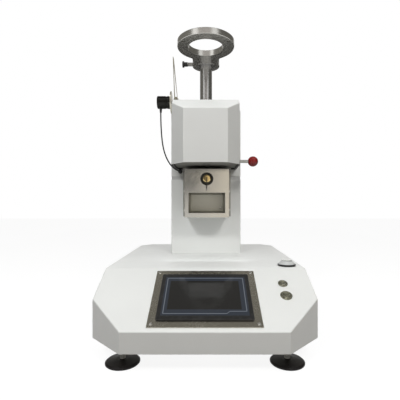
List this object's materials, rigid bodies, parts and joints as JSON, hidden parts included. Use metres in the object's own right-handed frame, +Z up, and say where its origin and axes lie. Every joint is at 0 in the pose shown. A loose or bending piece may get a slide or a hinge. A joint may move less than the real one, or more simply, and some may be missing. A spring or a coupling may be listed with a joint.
{
  "type": "melt flow index tester",
  "caption": "Bench melt flow tester: octagonal base with sloped screen, column, shrouded heated barrel, rotary cutter box, weight ring on a post and displacement encoder.",
  "frame": {"origin": "on the floor under the middle of the base, centred between its front face and the back of the mains inlet", "axes": "+Z up along the column, -Y towards the operator and the sloped screen, +X to the operator's right"},
  "size_m": [0.492, 0.633, 0.8115],
  "materials": {
    "cream_paint": "fine-textured cream powder coat",
    "grey_paint": "satin grey",
    "dark_sheet": "matt black",
    "zinc_sheet": "dull zinc",
    "brushed_stainless": "brushed",
    "ground_steel": "finely turned and ground",
    "polished_steel": "polished",
    "black_plastic": "fine texture",
    "black_anodised": "black anodised",
    "screen_glass": "glossy display",
    "clear_glass": "clear",
    "red_knob": "glossy red",
    "brass": "turned",
    "rubber": "moulded",
    "aluminium": "milled",
    "wool": "ceramic fibre",
    "green_board": "solder mask"
  },
  "bodies": {
    "stand": {"base_housing": "cream_paint", "base_plate": "zinc_sheet", "control_board": "green_board", "power_supply": "aluminium", "foot_nuts": "zinc_sheet", "column_head": "cream_paint", "column_lower": "cream_paint", "column_band": "grey_paint", "column_rear_cover": "cream_paint", "furnace_shroud": "cream_paint", "shroud_floor": "dark_sheet", "guide_block": "ground_steel", "barrel": "polished_steel", "die": "polished_steel", "barrel_collar": "brushed_stainless", "furnace_block": "brass", "temperature_sensor": "brushed_stainless", "heater_band": "brushed_stainless", "insulation_sleeve": "wool", "post": "polished_steel", "post_flange": "brushed_stainless", "post_flange_screws": "zinc_sheet", "cutter_box": "dark_sheet", "cutter_faceplate": "brushed_stainless", "niche_liner": "brushed_stainless", "opening_ring": "black_plastic", "motor_bracket": "aluminium", "cutter_motor": "zinc_sheet", "screen_frame": "brushed_stainless", "display_bezel": "black_plastic", "display_glass": "screen_glass", "display_case": "black_plastic", "button_body_small": "polished_steel", "button_body_large": "polished_steel", "level_ring": "black_plastic", "level_body": "aluminium", "level_glass": "clear_glass", "encoder_flange": "brushed_stainless", "encoder_body": "black_anodised", "encoder_boot": "black_plastic", "encoder_cable": "rubber", "cable_gland": "black_plastic", "power_inlet": "black_plastic", "panel_screws": "brushed_stainless"},
    "foot_front_left": {"foot_front_left": "rubber"},
    "foot_front_right": {"foot_front_right": "rubber"},
    "foot_rear_left": {"foot_rear_left": "rubber"},
    "foot_rear_right": {"foot_rear_right": "rubber"},
    "die_slide": {"die_slide": "ground_steel", "lever_ball": "red_knob"},
    "ring_collar": {"ring_collar": "brushed_stainless"},
    "support_ring": {"support_ring": "ground_steel"},
    "clamp_screw": {"clamp_screw": "black_plastic"},
    "measuring_arm": {"measuring_arm": "brushed_stainless", "encoder_shaft": "ground_steel"},
    "cutter": {"cutter_shaft": "ground_steel", "cutter_hub": "brass", "cutter_blade": "brushed_stainless"},
    "button_small": {"button_cap_small": "polished_steel"},
    "button_large": {"button_cap_large": "black_plastic"}
  },
  "joints": [
    {"name": "foot_front_left_turn", "type": "hinge", "parent": "stand", "child": "foot_front_left", "pos_m": [-0.172, -0.2665, 0.02], "axis": [0, 0, 1], "continuous": true},
    {"name": "foot_front_right_turn", "type": "hinge", "parent": "stand", "child": "foot_front_right", "pos_m": [0.172, -0.2665, 0.02], "axis": [0, 0, 1], "continuous": true},
    {"name": "foot_rear_left_turn", "type": "hinge", "parent": "stand", "child": "foot_rear_left", "pos_m": [-0.172, 0.2635, 0.02], "axis": [0, 0, 1], "continuous": true},
    {"name": "foot_rear_right_turn", "type": "hinge", "parent": "stand", "child": "foot_rear_right", "pos_m": [0.172, 0.2635, 0.02], "axis": [0, 0, 1], "continuous": true},
    {"name": "die_slide_pull", "type": "slide", "parent": "stand", "child": "die_slide", "axis": [1, 0, 0], "range_m": [0, 0.03]},
    {"name": "ring_height", "type": "slide", "parent": "stand", "child": "ring_collar", "axis": [0, 0, 1], "range_m": [-0.12, 0]},
    {"name": "ring_swing", "type": "hinge", "parent": "ring_collar", "child": "support_ring", "pos_m": [0, 0.1285, 0.793], "axis": [0, 0, 1], "range_deg": [0, 110]},
    {"name": "clamp_turn", "type": "hinge", "parent": "support_ring", "child": "clamp_screw", "pos_m": [-0.05, 0.1285, 0.79164], "axis": [1, 0, 0], "continuous": true},
    {"name": "arm_swing", "type": "hinge", "parent": "stand", "child": "measuring_arm", "pos_m": [-0.1, 0.0485, 0.641], "axis": [1, 0, 0], "range_deg": [0, 85]},
    {"name": "cutter_turn", "type": "hinge", "parent": "stand", "child": "cutter", "pos_m": [0.003, 0.0085, 0.4045], "axis": [0, 1, 0], "continuous": true},
    {"name": "small_button_press", "type": "slide", "parent": "stand", "child": "button_small", "axis": [0, 0.4677, -0.8839], "range_m": [0, 0.0025], "stiffness_N_per_m": 400, "springref_m": -0.002},
    {"name": "large_button_press", "type": "slide", "parent": "stand", "child": "button_large", "axis": [0, 0.4677, -0.8839], "range_m": [0, 0.0025], "stiffness_N_per_m": 400, "springref_m": -0.002}
  ]
}
